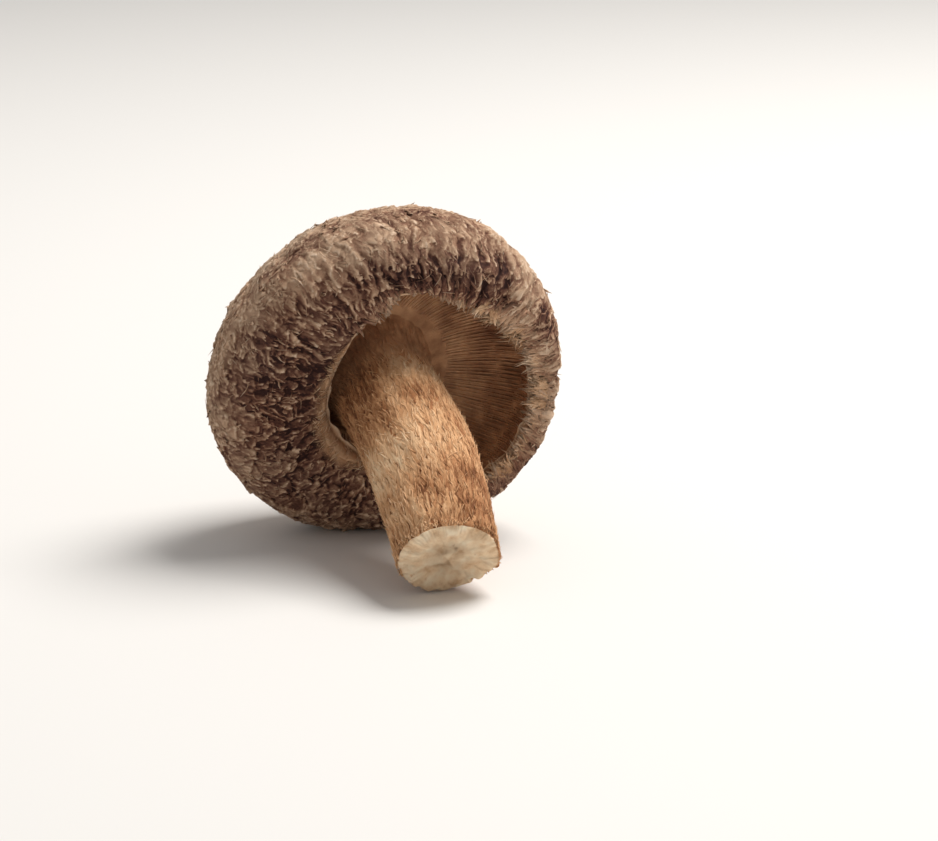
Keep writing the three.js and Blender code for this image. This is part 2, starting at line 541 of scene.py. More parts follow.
skin.lay(
    flakes, flake_length, flake_width, flake_rise * (1 - 0.6 * combed), flake_turn,
    dice.random(count), dice, curl=0.2 * MM,
)

locks = scatter(cap_frame, np.arange(0.56, 0.96, 0.05), 2.1 * MM, dice)
combed = np.cos(locks[0] - math.radians(COMBED_SIDE)) + dice.normal(0, 0.3, len(locks[0]))
locks = locks[:, (combed > -0.1) | (locks[1] > 0.86)]
count = len(locks[0])
to_lip = (1.03 - locks[1]) * SKIN_LENGTH
lock_length = np.where(to_lip < 14 * MM, to_lip, 10 * MM) * dice.uniform(0.8, 1.3, count)
lock_width = dice.uniform(1.4, 3.4, count) * MM
lock_rise = np.interp(locks[1], (0.6, 0.75, 1.0), (0.7, 1.2, 1.3)) * MM * dice.uniform(0.5, 1.3, count)
lock_turn = dice.normal(0, 0.12, count) + 0.25 * lumpy(cap_point(*locks), 9 * MM, 4)
skin.lay(
    locks, lock_length, lock_width, lock_rise, lock_turn,
    dice.random(count), dice, roundness=0.85, fade=0.75,
)

grid_angle, grid_way = np.meshgrid(TURN * np.arange(skin.columns) / skin.columns, skin.ways)
combing = np.stack((
    24 * MM * np.cos(grid_angle), 24 * MM * np.sin(grid_angle),
    (grid_way + 0.02 * np.sin(grid_angle * 9)) * SKIN_LENGTH / 5,
), axis=-1)
where = np.interp(grid_way, (0.64, 0.78, 0.97, 1.0), (0, 1, 1, 0.4))
where = where * np.maximum(facing(grid_angle, COMBED_SIDE, 1.6, 0.6), 0.15)
skin.pits = np.clip(lumpy(combing, 2.2 * MM, 24) - 0.17, 0, 0.5) * 1.7 * where
holes = np.clip(lumpy(skin.torn_points, 2.6 * MM, 25) - 0.35, 0, 0.4)
skin.pits += holes * np.interp(grid_way, (0.68, 0.84), (0, 1))
skin.height -= 0.8 * MM * skin.pits

fibres = scatter(cap_frame, np.arange(0.02, 1.0, 0.0135), 0.8 * MM, dice)
count = len(fibres[0])
calm = np.interp(fibres[1], (0.6, 0.8), (1, 0.45))
tousled = np.interp(fibres[1], (0, 0.25, 0.45), (2.5, 1.5, 0))
skin.lay(
    fibres, dice.uniform(1.2, 3.6, count) * MM / calm ** 0.4, dice.uniform(0.22, 0.95, count) * MM,
    dice.uniform(0.06, 0.23, count) * MM,
    (0.95 * lumpy(cap_point(*fibres), 7 * MM, 3) + dice.normal(0, 0.5, count) * (1 + tousled)) * calm,
    dice.random(count), dice, curl=0.05 * MM, stacked=1,
)
skin.smooth_height = skin.blurred(skin.height, 1.4 * MM)
# how far each point stands above or below the skin round it, for painted light on crests and painted
# shade in pits
skin.proud = 0.6 * (skin.height - skin.smooth_height)
skin.proud += 1.6 * (skin.height - skin.blurred(skin.height, 0.4 * MM))
skin.height += 0.06 * MM * lumpy(skin.points, 0.9 * MM, 21)
skin.folds = 0.5 * MM * lumpy(skin.points * (1, 1, 0.5), 6 * MM, 23) - 0.5 * MM
to_edge = np.interp(grid_way, (0.78, 0.95), (1, 0.25))
bulge = spot(grid_angle, 320, math.degrees(0.3))
skin.folds += MM * to_edge * (0.7 * np.clip(1.2 - np.sin(grid_angle), 0, 1) + 0.6 * bulge)


def cap_relief(angle, way, grid):
    """How far the skin stands out of the smooth cap, running out to nothing at the veil."""
    on_skin = np.clip((veil_way(angle) + 0.004 - way) / 0.026, 0, 1)
    return skin.look_up(grid + skin.folds, angle, way) * on_skin


def skin_frame(angle, way):
    """As cap_frame, on the folded skin."""
    point, around, down, out = cap_frame(angle, way)
    return point + out * cap_relief(angle, way, skin.smooth_height)[..., None], around, down, out


# where the skin is paler or darker than round about: angle, way, how far it spreads in each, amount
SKIN_PATCHES = (
    (186, 0.8, 28, 0.06, -0.5), (198, 0.67, 22, 0.04, 0.35), (230, 0.95, 18, 0.04, -0.45),
    (182, 0.9, 14, 0.05, -0.35), (196, 0.86, 9, 0.04, 0.4), (214, 0.74, 12, 0.03, 0.25),
    (227, 0.74, 12, 0.035, 0.3), (236, 0.62, 12, 0.05, -0.2), (244, 0.82, 10, 0.03, 0.25),
    (248, 0.77, 16, 0.055, 0.42), (252, 0.66, 18, 0.045, -0.3), (257, 0.9, 8, 0.05, -0.6),
    (282, 0.72, 14, 0.05, -0.3), (300, 0.62, 28, 0.07, -0.3), (308, 0.93, 10, 0.04, 0.35),
    (316, 0.8, 14, 0.06, -0.2), (320, 0.9, 8, 0.05, -0.45), (330, 0.86, 8, 0.05, -0.25),
    (354, 0.94, 14, 0.05, 0.4),
)


def paleness_with_painted_light(angle, way):
    """How pale the skin is: palest on the shoulder and the torn side, and darkest along the lip. It is
    partly the skin's own tone and partly painted light: a lit shoulder, and painted shade along the lip
    and in the pits.
    """
    torn_side = facing(angle, TORN_SIDE, 1.3, -0.3) * np.interp(way, (0.5, 0.8), (0, 1))
    smooth_side = facing(angle, 165, 1.5, -0.3) * np.interp(way, (0.4, 0.7), (0, 1))
    point = cap_point(angle, way)
    patches = lumpy(point, 6 * MM, 51) * 0.75 + lumpy(point, 2.2 * MM, 52) * 0.4
    # painted shade in the pits
    patches = patches - skin.look_up(skin.pits, angle, way) * 0.5
    # painted light on the shoulder, which faces up, and painted shade along the lip, which faces down
    pale = np.interp(way, (0, 0.3, 0.52, 0.74, 0.87), (0.05, 0.3, 0.86, 0.46, 0.02))
    pale = pale + 0.46 * torn_side - 0.2 * smooth_side
    for centre, centre_way, spread, way_spread, amount in SKIN_PATCHES:
        along = np.exp(-((way - centre_way) / way_spread) ** 2)
        pale = pale + amount * spot(angle, centre, spread) * along
    return np.minimum(pale + (0.5 + 0.4 * torn_side) * patches, 0.95)


def painted_hollow_shade(angle, way):
    """Painted shade on the flesh in the hollow: most by the torn lip, and where it meets the stem."""
    far_side = facing(angle, 15, 1.3) * np.interp(way, (1, 1.5, 2), (1, 0.9, 0.2))
    return np.maximum(far_side, np.interp(way, (1.72, 1.96), (0, 0.8)))


CAP_SEGMENTS = 120
SKIN_RINGS = 43
HOLLOW_RINGS = 12
HOLLOW_END = 1.97
CAP_TRIANGLES = 190000
skin_ways = np.interp(np.linspace(0, 1, SKIN_RINGS), (0, 0.35, 1), (0.012, 0.45, 1))
ways = np.r_[skin_ways, np.linspace(1, HOLLOW_END, HOLLOW_RINGS)[1:]]
angles = TURN * np.arange(CAP_SEGMENTS) / CAP_SEGMENTS
cap = grow("cap_flesh", [cap_point(angles, way) for way in ways], 3)
cap_angle, cap_way = places_of(cap, ways)
push_out(cap, cap_relief(cap_angle, cap_way, skin.height))
# the cap carries how pale its skin is, painted light included, and painted shade in its hollow
mark_points(
    cap, way=cap_way, pale=paleness_with_painted_light(cap_angle, cap_way), dim=painted_hollow_shade(cap_angle, cap_way),
    veil=(cap_way - veil_way(cap_angle)) * SKIN_LENGTH / MM,
)
skin.mark(cap, cap_angle, cap_way)
lay_down(cap)
# the points that matter least to the shape are melted away
thinning = cap.modifiers.new("thinning", "DECIMATE")
thinning.ratio = CAP_TRIANGLES / (2 * len(cap.data.polygons))
deselect_all()
bpy.context.view_layer.objects.active = cap
bpy.ops.object.modifier_apply(modifier="thinning")


def hollow_colour(finish, dim):
    """The brown of the gills and of the flesh between them, darkened by painted shade."""
    shade = finish.noise(260.0, 4.0) - dim * 0.22
    return finish.ramp(
        shade, (0.0, (0.2, 0.085, 0.04)), (0.25, (0.37, 0.18, 0.09)), (0.55, (0.66, 0.37, 0.197)),
        (0.8, (0.74, 0.45, 0.26))
    )


felt = Finish("felted skin", {"Roughness": 0.88, "Specular IOR Level": 0.2})
streaks = felt.streaks(2.9, 0.3)
down_wool = felt.noise(2200.0, 3.0)
clouds = felt.noise(170.0, 3.0)
# painted highlights along the flakes' tips and edges, and painted light on crests and painted shade in
# pits from the relief
rim = (felt.mark("tip") ** 4.0) * 0.7 + (felt.mark("edge") ** 5.0) * felt.mark("tip") * 0.5
detail = (
    rim * 0.42 + felt.mark("tone") * 0.28 + felt.mark("proud") * 0.68
    + streaks * 0.6 + down_wool * 0.25 + clouds * 0.4 - 0.82
)
# the skin's own tone, with painted light and shade from how pale it is marked
lightness = detail * (1.12 - felt.mark("pale") * 0.68) + felt.mark("pale") * 0.5 + 0.35
warm = felt.ramp(
    lightness, (0.0, (0.036, 0.011, 0.007)), (0.25, (0.145, 0.054, 0.03)),
    (0.5, (0.33, 0.17, 0.1)), (0.75, (0.59, 0.37, 0.235)), (1.0, (0.78, 0.57, 0.41))
)
grey = felt.ramp(
    lightness, (0.0, (0.032, 0.014, 0.013)), (0.25, (0.12, 0.056, 0.041)),
    (0.5, (0.29, 0.178, 0.118)), (0.75, (0.53, 0.37, 0.252)), (1.0, (0.74, 0.57, 0.42))
)
outside = felt.blend(felt.noise(110.0, 2.0), warm, grey)
# the flesh in the hollow, darkened by painted shade
inside = hollow_colour(felt, felt.mark("dim"))
cottony = felt.ramp(
    felt.noise(420.0, 5.0, 0.6) * 0.5 + streaks * 0.5,
    (0.2, (0.24, 0.118, 0.06)), (0.5, (0.54, 0.315, 0.175)), (0.8, (0.82, 0.57, 0.36))
)
onto_veil = (felt.mark("veil") * 0.8 + (streaks - 0.5) * 3.5 + 0.2).clamp()
in_hollow = ((felt.mark("way") - 1.0) * 60.0).clamp()
felt.feed("Base Color", felt.blend(in_hollow, felt.blend(onto_veil, outside, cottony), inside))
felt.feed("Normal", felt.bump(streaks * 0.7 + down_wool * 0.3, 0.22 * MM))
cap.data.materials.append(felt.material)
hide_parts("mushroom")
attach(cap, "root")


# The scales: the loosest tips of the cap's torn skin, which curl up off it, and the broad ends of
# its locks, which hang over the lip. Each is felted like the skin and grown fast to it at its root.
def blade(sides, stations):
    """A blade along Y, extruded from a standing section through stations of place, half width and
    thickness. Gives its points, how near each is to the blade's edge, and its triangles."""
    deselect_all()
    upright = math.radians(90 if sides == 3 else -90)
    bpy.ops.mesh.primitive_circle_add(
        vertices=sides, radius=1, fill_type="NGON", rotation=(upright, 0, 0)
    )
    bpy.ops.object.transform_apply(rotation=True)
    made = bpy.context.object
    low, high = (Vector(edge(corner) for corner in zip(*made.bound_box)) for edge in (min, max))
    bpy.ops.object.mode_set(mode="EDIT")
    bpy.ops.transform.translate(value=(0, 0, -low.z))
    bpy.ops.transform.resize(value=(1 / high.x, 1, 1 / (high.z - low.z)), center_override=(0, 0, 0))
    start = (0, 1, 1)
    for place, width, thickness in stations:
        if place:
            bpy.ops.mesh.extrude_region_move(TRANSFORM_OT_translate={"value": (0, place - start[0], 0)})
        bpy.ops.transform.resize(
            value=(width / start[1], 1, thickness / start[2]), center_override=(0, place, 0)
        )
        start = (place, width, thickness)
    bpy.ops.mesh.extrude_region_move(TRANSFORM_OT_translate={"value": (0, 1 - start[0], 0)})
    bpy.ops.mesh.merge(type="CENTER")
    bpy.ops.mesh.select_all(action="SELECT")
    bpy.ops.mesh.quads_convert_to_tris()
    bpy.ops.mesh.normals_make_consistent(inside=False)
    bpy.ops.object.mode_set(mode="OBJECT")
    shape = np.array([vertex.co for vertex in made.data.vertices])
    faces = np.array([face.vertices for face in made.data.polygons])
    bpy.data.objects.remove(made)
    widths = {round(place, 3): width for place, width, _ in stations}
    edge = np.array([abs(x) / widths.get(round(y, 3), 1) if y < 0.999 else 1 for x, y, _ in shape])
    return shape, edge, faces


# a blade near the crown turns round it no faster than on a circle of this radius
LEAST_CIRCLE = 2 * MM


def clothe(name, surface, template, angle, way, size, tone, dice, crumple, first_way, last_way):
    """Lays a copy of a blade at each place of a surface, following its curve from its first way to
    its last, past which it hangs. size gives each copy's length, width, thickness, lift of the
    tip, turn from straight down, and sideways bow."""
    shape, edge, faces = template
    crumpling = dice.normal(0, crumple, (len(angle), *shape.shape)) * (shape[:, 1:2] > 0) * (1, 0.6, 1)
    across, along, up = (shape + crumpling).transpose(2, 0, 1)
    length, width, thickness, lift, turn, bow = (np.broadcast_to(s, angle.shape)[:, None] for s in size)
    angle, way = angle[:, None], way[:, None]
    _, around, down, _ = surface(angle, way)
    around_rate = np.maximum(np.linalg.norm(around, axis=-1), LEAST_CIRCLE)
    down_rate = np.linalg.norm(down, axis=-1)
    side = width / 2 * across + bow * length * along ** 2
    run = length * along
    to_side = side * np.cos(turn) + run * np.sin(turn)
    to_lip = run * np.cos(turn) - side * np.sin(turn)
    reached = way + to_lip / down_rate
    kept = np.clip(reached, first_way, last_way)
    points, _, down, out = surface(angle + to_side / around_rate, kept)
    hanging = (reached - kept) * down_rate / np.linalg.norm(down, axis=-1)
    height = thickness * (up - 0.3) + lift * np.maximum(along, 0) ** 1.7
    points = points + down * hanging[..., None] + out * height[..., None]
    copies, corners = points.shape[:2]
    mesh = bpy.data.meshes.new(name)
    every_face = (faces + (np.arange(copies) * corners)[:, None, None]).reshape(-1, 3)
    mesh.from_pydata(points.reshape(-1, 3), [], every_face)
    piece = bpy.data.objects.new(name, mesh)
    bpy.context.collection.objects.link(piece)
    mesh.shade_smooth()
    seed = np.repeat(dice.random(copies), corners)
    # the blades are painted lighter towards their lifted tips
    mark_points(
        piece, tone=np.repeat(tone, corners), tip=along.ravel(), edge=np.tile(edge, copies),
        proud=np.clip(0.25 + 0.35 * along, 0, 1).ravel(), way=kept.ravel(),
        veil=np.full(kept.size, -3.0),
        grain=np.stack((side.ravel() / MM, run.ravel() / MM, seed * 60), -1),
    )
    return piece


curl = blade(3, ((0, 0.9, 0.8), (0.35, 1, 1), (0.7, 0.8, 0.7)))
curled = (dice.random(len(flakes[0])) < 0.6) & (flakes[1] < 0.9)
angle, way, turn = flakes[0][curled], flakes[1][curled], flake_turn[curled]
count = len(angle)
_, around, down, _ = cap_frame(angle, way)
started = dice.uniform(0.6, 0.9, count) * flake_length[curled]
way = way + started * np.cos(turn) / np.linalg.norm(down, axis=-1)
angle = angle + started * np.sin(turn) / np.maximum(np.linalg.norm(around, axis=-1), LEAST_CIRCLE)
fat = 1.0 * (dice.random(count) < 0.14)
curl_size = (
    dice.uniform(1.0, 2.4, count) * MM * (1 - 0.4 * fat),
    dice.uniform(0.12, 0.32, count) * MM * (1 + 2 * fat),
    dice.uniform(0.06, 0.12, count) * MM * (1 + 2 * fat),
    dice.gamma(1.5, 0.12, count) * MM + fat * dice.uniform(0.1, 0.7, count) * MM,
    turn + dice.normal(0, 0.6, count),
    dice.normal(0, 0.6, count),
)
# where the ends of the locks and of the veil's tufts leave the lip and hang
HANGING_WAY = 0.957
LOCK_ENDS = 420
end_angle = math.radians(COMBED_SIDE) + dice.uniform(-2.1, 2.1, LOCK_ENDS)
end_way = dice.uniform(0.9, 0.955, LOCK_ENDS)
lip_lumps = lumpy(cap_point(end_angle, np.ones(LOCK_ENDS)), 2.5 * MM, 53)
hanging = dice.uniform(-0.5, 0.6, LOCK_ENDS) + 0.9 * lip_lumps + 1.1 * spot(end_angle, 232, 16)
end_size = (
    hanging * MM + (0.99 - end_way) * SKIN_LENGTH,
    dice.uniform(0.5, 1.4, LOCK_ENDS) * MM,
    dice.uniform(0.15, 0.3, LOCK_ENDS) * MM,
    dice.normal(0.05, 0.2, LOCK_ENDS) * MM,
    dice.normal(0, 0.25, LOCK_ENDS),
    dice.normal(0, 0.12, LOCK_ENDS),
)
ending = np.cos(end_angle - math.radians(SMOOTH_SIDE)) < 0.6
scale_size = [np.r_[curls, ends[ending]] for curls, ends in zip(curl_size, end_size)]
# the scales are as pale as the skin under them, painted light included
pale = np.r_[
    np.minimum(paleness_with_painted_light(angle, way), 0.8) * (1 - 0.7 * fat), paleness_with_painted_light(end_angle, end_way)[ending] - 0.35
]
last = np.r_[np.full(count, 0.97), np.full(ending.sum(), HANGING_WAY)][:, None]
angle, way = np.r_[angle, end_angle[ending]], np.r_[way, end_way[ending]]
tone = 0.4 * dice.random(len(way))
scales = clothe(
    "cap_scales", skin_frame, curl, angle, way, scale_size, tone,
    dice, crumple=0.22, first_way=0.01, last_way=last,
)
mark_points(scales, pale=np.repeat(pale, len(curl[0])))
lay_down(scales)
scales.data.materials.append(felt.material)
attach(scales, "root")


# The gills: thin blades of flesh, packed side by side, that hang from the hollow's ceiling and run
# from the lip to the stem. Shorter ones fill the gaps near the lip, where they spread apart.
GILL_COUNT = 310
gill = blade(4, (
    (0, 0.5, 0.15), (0.06, 0.8, 0.5), (0.15, 1, 0.85), (0.3, 1, 1), (0.5, 1, 1), (0.7, 1, 0.9),
    (0.88, 1, 0.6),
))
angle = TURN * (np.arange(GILL_COUNT) + dice.uniform(-0.18, 0.18, GILL_COUNT)) / GILL_COUNT
way = dice.uniform(1.05, 1.09, len(angle))
reached = np.where(np.arange(len(angle)) % 2, dice.uniform(1.4, 1.75, len(angle)), 1.96)
gill_size = (
    (reached - way) * np.linalg.norm(cap_frame(angle, way)[2], axis=-1),
    dice.uniform(0.44, 0.56, len(angle)) * MM,
    dice.uniform(0.17, 0.22, len(angle)) * MM,
    0.0,
    0.0,
    dice.normal(0, 0.006, len(angle)),
)
tone = dice.random(len(angle))
gills = clothe(
    "gills", cap_frame, gill, angle, way, gill_size, tone,
    dice, crumple=0.02, first_way=1.0, last_way=HOLLOW_END,
)
# the gills get the hollow's painted shade
mark_points(gills, dim=painted_hollow_shade(np.repeat(angle, len(gill[0])), read(gills, "way")))
lay_down(gills)
gill_flesh = Finish("gill flesh", {"Roughness": 0.6, "Specular IOR Level": 0.3})
gill_flesh.feed("Base Color", hollow_colour(gill_flesh, gill_flesh.mark("dim")))
gill_flesh.feed("Normal", gill_flesh.bump(gill_flesh.noise(1500.0, 3.0), 0.1 * MM))
gills.data.materials.append(gill_flesh.material)
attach(gills, "root")


# The veil: what is left of the thin cottony sheet that closed the opening while the cap was young.
# It lines the rolled lip, broad and smooth on one side and torn into a ragged fringe on the other.
VEIL_COLUMNS = 240
VEIL_EDGE_ROW = 8


def painted_veil_shade(angle):
    """Painted shade on the veil: in pockets, and most at the two ends of its torn side."""
    pockets = facing(angle, TORN_SIDE, 2) * lumpy(on_ring(angle), 2 * MM, 38)
    return 0.7 * spot(angle, 325, 18) + 0.6 * spot(angle, 50, 25) + 0.6 * pockets


def veil_section(angle):
    """The veil cut across at angles: rows of points out along its face and back along its wall."""
    point, _, _, lip_out = cap_frame(angle, np.ones_like(angle))
    centre = np.array((*OPENING_SHIFT, 0))
    inward = (centre - point) * (1, 1, 0)
    inward /= np.linalg.norm(inward, axis=-1, keepdims=True)
    around = on_ring(angle)
    torn = facing(angle, TORN_SIDE, 1.4)
    fringe = np.clip(lumpy(around, 1.5 * MM, 31) + 0.2, 0, 1) * 2.0
    fringe = fringe + np.clip(lumpy(around, 0.6 * MM, 32), 0, 1) * 0.9
    open_top = facing(angle, 275, 2.2, -0.9)
    past = 0.6 + 0.6 * lumpy(around, 3 * MM, 33) + 0.35 * lumpy(around, 1.2 * MM, 37)
    past = (past + torn * fringe * 0.5 - 0.9 * open_top) * MM
    first = np.minimum(veil_way(angle) + 0.012, 0.985)
    rows = []
    for share in np.linspace(0, 1, 7):
        here, _, _, out = cap_frame(angle, first + (1 - first) * share)
        thick = (0.02 + 0.22 * lumpy(here, 1.3 * MM, 34) - 0.5 * open_top) * MM
        rows.append(here + out * (thick - 0.6 * MM * (share == 0))[..., None])
    for share, more, deep in ((0.5, 0.1, 0.1), (1.0, 0.1, 0.1), (0.8, 0, 0.35), (0.3, 0, 0.35)):
        rows.append(point + inward * (past * share + more * MM)[..., None] + (0, 0, deep * MM))
    return rows + [point - lip_out * 0.5 * MM, rows[0]]


angles = TURN * np.arange(VEIL_COLUMNS) / VEIL_COLUMNS
veil_rows = veil_section(angles)
veil = grow("veil", veil_rows, 1, band=True)
veil_angle, veil_row = places_of(veil, np.arange(len(veil_rows)))
# the veil's inner edge is marked for a painted highlight, and its pockets for painted shade
mark_points(
    veil, tip=1 - np.abs(veil_row - VEIL_EDGE_ROW) / 2, dim=painted_veil_shade(veil_angle),
    grain=np.stack((veil_angle * 20, veil_row * 0.7, 0 * veil_row), -1),
)
lay_down(veil)
cotton = Finish("veil cotton", {"Roughness": 0.9, "Specular IOR Level": 0.2})
streaks = cotton.streaks(2.9, 0.3)
# painted highlights on the threads' tips and the veil's inner edge, and painted shade in its pockets
shade = (
    cotton.noise(420.0, 5.0, 0.6) * 0.5 + streaks * 0.5
    + cotton.mark("tip").clamp() * 0.4 + 0.08 - cotton.mark("dim") * 0.3
)
cotton.feed("Base Color", cotton.ramp(
    shade, (0.2, (0.2, 0.098, 0.05)), (0.5, (0.47, 0.27, 0.15)), (0.8, (0.78, 0.54, 0.345)),
    (1.0, (0.92, 0.72, 0.53))
))
cotton.feed("Normal", cotton.bump(streaks, 0.25 * MM))


# The veil's wool: cottony threads, pulled out as the veil tore. They hang in ragged tufts from the
# torn side of the lip, and lie flat on its smooth side, where they run out over the skin.
thread = blade(3, ((0, 0.9, 0.9), (0.35, 1, 1), (0.65, 0.85, 0.9), (0.9, 0.6, 0.6)))
TUFTS, THREADS = 24, 15
tuft_angle = math.radians(TORN_SIDE) + np.linspace(-1.4, 1.35, TUFTS) + dice.normal(0, 0.05, TUFTS)
tuft_length = dice.gamma(3.0, 0.6, TUFTS) * np.maximum(facing(tuft_angle, 335, 1.6), 0.3)
tuft_turn = dice.normal(0, 0.4, TUFTS)
tuft_lift = dice.normal(0.3, 0.4, TUFTS)
spread = dice.normal(0, 1, (TUFTS, THREADS)).ravel()
angle = np.repeat(tuft_angle, THREADS) + spread * 0.022
way = dice.uniform(0.948, 0.97, TUFTS * THREADS)
share = dice.uniform(0.0, 1.0, TUFTS * THREADS)
thread_size = (
    (np.repeat(tuft_length, THREADS) * share + 0.4) * MM + (0.985 - way) * SKIN_LENGTH,
    dice.uniform(0.6, 1.4, TUFTS * THREADS) * MM * (1.25 - share),
    dice.uniform(0.15, 0.35, TUFTS * THREADS) * MM,
    (np.repeat(tuft_lift, THREADS) + dice.normal(0, 0.4, TUFTS * THREADS)) * MM * share,
    np.repeat(tuft_turn, THREADS) - spread * 0.1 + dice.normal(0, 0.22, TUFTS * THREADS),
    dice.normal(0, 0.35, TUFTS * THREADS),
)
SMOOTH_THREADS, TORN_THREADS = 450, 120
lying = np.r_[np.ones(SMOOTH_THREADS), np.zeros(TORN_THREADS)]
count = len(lying)
flat_angle = np.where(
    lying, math.radians(SMOOTH_SIDE) + dice.uniform(-1.2, 1.2, count),
    math.radians(TORN_SIDE) + dice.uniform(-1.4, 1.4, count),
)
flat_way = np.where(
    lying, veil_way(flat_angle) + dice.uniform(-0.012, 0.085, count), dice.uniform(0.962, 0.992, count)
)
flat_size = (
    dice.uniform(0.5, 1.3, count) * MM * (1 + 0.5 * lying),
    dice.uniform(0.12, 0.4, count) * MM * (1 - 0.35 * lying),
    dice.uniform(0.08, 0.16, count) * MM,
    dice.gamma(1.2, 0.1, count) * MM,
    dice.normal(0, 0.4, count) + dice.normal(0, 0.9, count) * (1 - lying),
    dice.normal(0, 0.35, count),
)
flat = flat_way < 0.995
angle, way = np.r_[angle, flat_angle[flat]], np.r_[way, flat_way[flat]]
thread_size = [np.r_[hanging, resting[flat]] for hanging, resting in zip(thread_size, flat_size)]
last = np.r_[np.full(TUFTS * THREADS, HANGING_WAY), np.full(flat.sum(), 1.004)][:, None]
tone = dice.random(len(angle))
threads = clothe(
    "veil_threads", cap_frame, thread, angle, way, thread_size, tone,
    dice, crumple=0.25, first_way=0.9, last_way=last,
)
# the threads get the veil's painted shade
mark_points(threads, dim=np.repeat(painted_veil_shade(angle), len(thread[0])))
lay_down(threads)
for piece in (veil, threads):
    piece.data.materials.append(cotton.material)
    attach(piece, "root")


# The stem: thick, tough and bent, with a felt of fibres along it. It swells out of the hollow's
# ceiling and ends in a cut, pale foot that touches the table.
STEM_RADIUS = 9.8 * MM
STEM_RUN = np.array((2.05, 0.3, -49.3)) * MM
STEM_BEND = np.array((-6.05, 9.1, 0)) * MM
STEM_TOP = -0.06
STEM_PROFILE = (
    (STEM_TOP, 1.5), (-0.02, 1.28), (0.04, 1.1), (0.12, 0.99), (0.3, 0.97), (0.5, 0.98),
    (0.7, 0.97), (0.9, 0.95), (1, 0.91),
)
stem_profile = smooth(STEM_PROFILE, steps=8)


def stem_point(angle, share):
    """Points of the stem: share 0 is its top in the hollow and 1 its foot."""
    share, angle = np.broadcast_arrays(share, angle)
    centre = STEM_RUN * share[..., None] + STEM_BEND * share[..., None] ** 2
    along = STEM_RUN + 2 * STEM_BEND * share[..., None]
    along /= np.linalg.norm(along, axis=-1, keepdims=True)
    side = np.array((1.0, 0, 0)) - along * along[..., :1]
    side /= np.linalg.norm(side, axis=-1, keepdims=True)
    other = np.cross(side, along)
    radius = np.interp(share, *stem_profile.T) * STEM_RADIUS
    forward, sideways = ((radius * turn(angle))[..., None] for turn in (np.cos, np.sin))
    return centre + side * forward + other * sideways


def stem_frame(angle, share):
    return surface_frame(stem_point, angle, share)


bark = Shingles(
    stem_frame, np.linspace(STEM_TOP, 1, 440), columns=640, ragged=0.22 * MM, floor=-0.15 * MM
)
strips = scatter(stem_frame, np.arange(-0.02, 1.06, 0.026), 0.75 * MM, dice)
count = len(strips[0])
bark.lay(
    strips, dice.uniform(3.0, 8.0, count) * MM, dice.uniform(0.4, 1.1, count) * MM,
    dice.uniform(0.05, 0.22, count) * MM,
    math.pi + dice.normal(0, 0.14, count) + 0.25 * lumpy(stem_point(*strips), 8 * MM, 41),
    dice.random(count), dice, roundness=0.6,
)
bark.smooth_height = bark.blurred(bark.height, 0.8 * MM)
# how far each point stands above or below the fibres round it, for painted light on crests and painted
# shade in hollows
bark.proud = bark.height - bark.smooth_height
bark.folds = 0.5 * MM * lumpy(bark.points * (1, 1, 0.4), 5 * MM, 43) - 0.2 * MM


def bark_frame(angle, share):
    """As stem_frame, on the fibres."""
    point, around, down, out = stem_frame(angle, share)
    height = bark.look_up(bark.smooth_height + bark.folds, angle, share)
    return point + out * height[..., None], around, down, out


def stem_paleness_with_painted_shade(angle, share):
    """How pale the stem is: darker in a rusty band low down, towards its foot and in patches, and with
    painted shade under the cap and down two of its sides.
    """
    point = stem_point(angle, share)
    band = np.exp(-((share - 0.82 - 0.03 * lumpy(point, 4 * MM, 61)) / 0.05) ** 2)
    patches = lumpy(point * (1, 1, 0.5), 3 * MM, 62) * 0.6
    patches = patches + lumpy(point * (1, 1, 0.4), 1.3 * MM, 63) * 0.5
    # painted shade down one side of the stem, most high up, and down another side lower down
    near = facing(angle, 195, 1.7, -0.5) * np.interp(share, (0, 0.3, 0.5, 0.65), (1.4, 1.4, 1.0, 0.1))
    far = facing(angle, 315, 2.0, -0.6)
    far = far * np.interp(share, (0.25, 0.4, 0.5, 0.62, 0.8), (0, 1.0, 0.85, 0.4, 0.8))
    low = np.interp(share, (0.6, 0.8), (0, 1))
    # painted shade where the cap hangs over the stem's top
    shade_under_cap = np.interp(share, (0.0, 0.3), (1, 0))
    return 1.72 - 0.7 * shade_under_cap - 0.4 * band - 0.6 * low - 1.35 * near - 1.4 * far + 0.8 * patches


STEM_SEGMENTS = 84
STEM_RINGS = 48
FOOT_INSETS = (0.985, 0.93, 0.7, 0.45, 0.2)
shares = np.r_[np.linspace(STEM_TOP, 0.99, STEM_RINGS), np.ones(len(FOOT_INSETS))]
angles = TURN * np.arange(STEM_SEGMENTS) / STEM_SEGMENTS
stem_rings = [stem_point(angles, share) for share in shares[:STEM_RINGS]]
rim = stem_point(angles, 1.0)
for inset in FOOT_INSETS:
    stem_rings.append(rim.mean(0) + (rim - rim.mean(0)) * inset)
stem = grow("stem", stem_rings, 2)
stem_angle, stem_share = places_of(stem, shares)
cut = np.clip((read(stem, "row") * (len(shares) - 1) - STEM_RINGS + 0.7) / 1.5, 0, 1)
points = read_rows(stem, "co")
raised = bark.look_up(bark.height + bark.folds, stem_angle, stem_share) * (1 - cut)
raised += cut * (0.2 * lumpy(points, 0.9 * MM, 44) + 0.4 * lumpy(points, 3 * MM, 45)) * MM
torn_rim = 0.5 * lumpy(points, 2.2 * MM, 46) + 0.35 * lumpy(points, 0.8 * MM, 47) - 0.2
raised += np.interp(stem_share, (0.9, 1), (0, 1)) * torn_rim * MM
push_out(stem, raised)
mark_points(stem, way=stem_share, cut=cut, pale=stem_paleness_with_painted_shade(stem_angle, stem_share))
